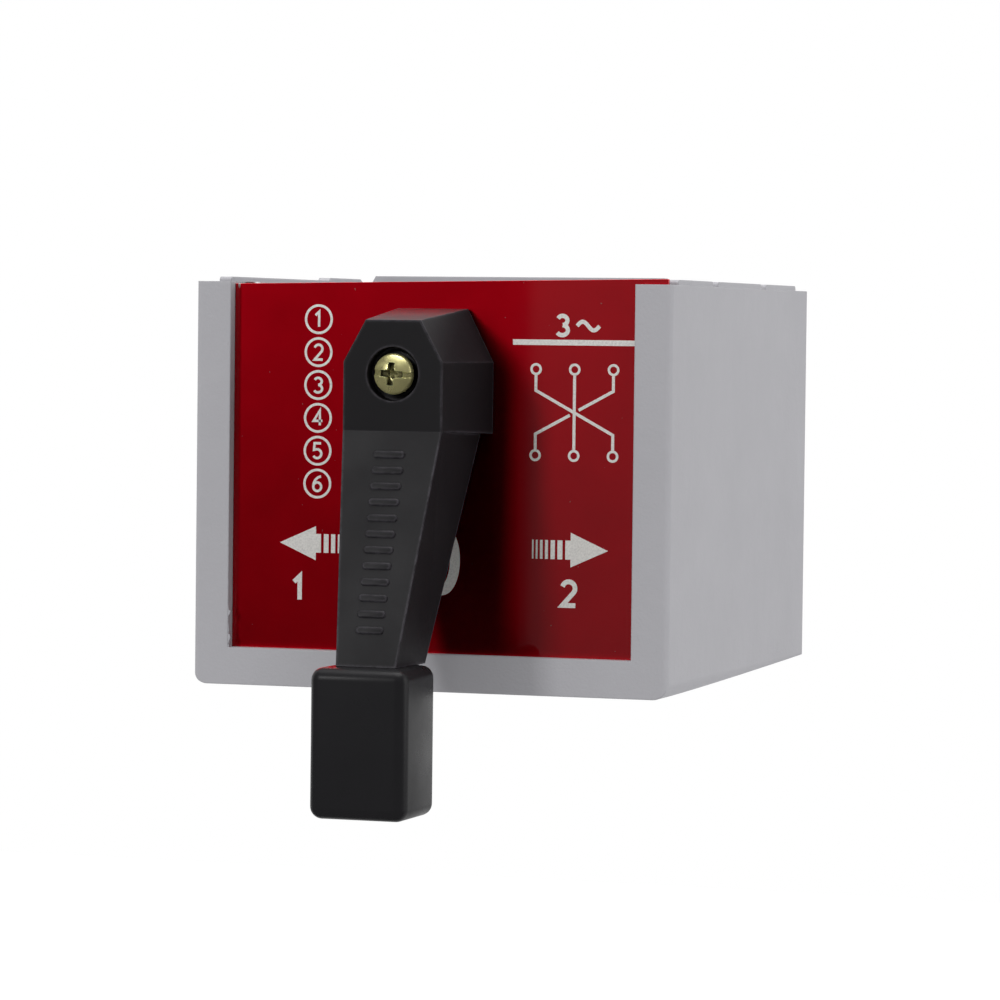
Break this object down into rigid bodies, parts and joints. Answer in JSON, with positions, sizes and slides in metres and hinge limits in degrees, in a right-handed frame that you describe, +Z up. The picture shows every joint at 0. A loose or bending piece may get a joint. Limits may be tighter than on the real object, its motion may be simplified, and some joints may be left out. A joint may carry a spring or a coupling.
{
  "type": "reversing drum switch",
  "caption": "Wall box switch: a front lever turns a drum with brass segments between spring fingers, with left, off and right positions for reversing a motor.",
  "frame": {"origin": "centre of the four wall screw holes, on the housing's back face", "axes": "+Z up, +Y into the wall, +X to the right of someone facing the front"},
  "size_m": [0.1, 0.144, 0.1058],
  "materials": {
    "housing_plastic": "light grey moulded plastic, fine matte grain",
    "plate_enamel": "deep red gloss print on aluminium sheet",
    "lever_plastic": "charcoal moulded plastic, matte",
    "grip_rubber": "black soft plastic, satin",
    "yellow_zinc": "yellow bright metal",
    "steel": "zinc plated",
    "spring_steel": "rolled strip",
    "contact_brass": "machined, lightly tarnished",
    "finger_bronze": "rolled phosphor bronze strip",
    "contact_silver": "silver alloy",
    "phenolic": "brown moulded insulating resin",
    "grommet_rubber": "black rubber"
  },
  "bodies": {
    "base": {"housing": "housing_plastic", "face_plate": "plate_enamel", "top_cover": "housing_plastic", "cover_screws": "steel", "terminal_board": "phenolic", "board_screws": "steel", "contact_fingers_left": "finger_bronze", "contact_fingers_right": "finger_bronze", "contact_buttons": "contact_silver", "terminal_screws": "steel", "wire_clamps": "steel", "front_bracket": "steel", "rear_bracket": "steel", "bracket_screws": "steel", "front_bush": "contact_brass", "rear_bush": "contact_brass", "detent_spring": "spring_steel", "detent_screw": "steel", "cable_grommet": "grommet_rubber"},
    "rotor": {"lever": "lever_plastic", "grip_cap": "grip_rubber", "lever_screw": "yellow_zinc", "plain_washer": "steel", "spring_washer": "steel", "shaft": "steel", "drum": "phenolic", "cross_pins": "steel", "bridge_first": "contact_brass", "bridge_second": "contact_brass", "bridge_third": "contact_brass", "crossbar_left": "contact_brass", "crossbar_right": "contact_brass", "segment_screws": "steel", "shaft_clips": "spring_steel", "detent_wheel": "steel"}
  },
  "joints": [
    {"name": "lever_turn", "type": "hinge", "parent": "base", "child": "rotor", "pos_m": [0, -0.1, 0.02266], "axis": [0, -1, 0], "range_deg": [-60, 60], "deforming": ["detent_spring"]}
  ]
}
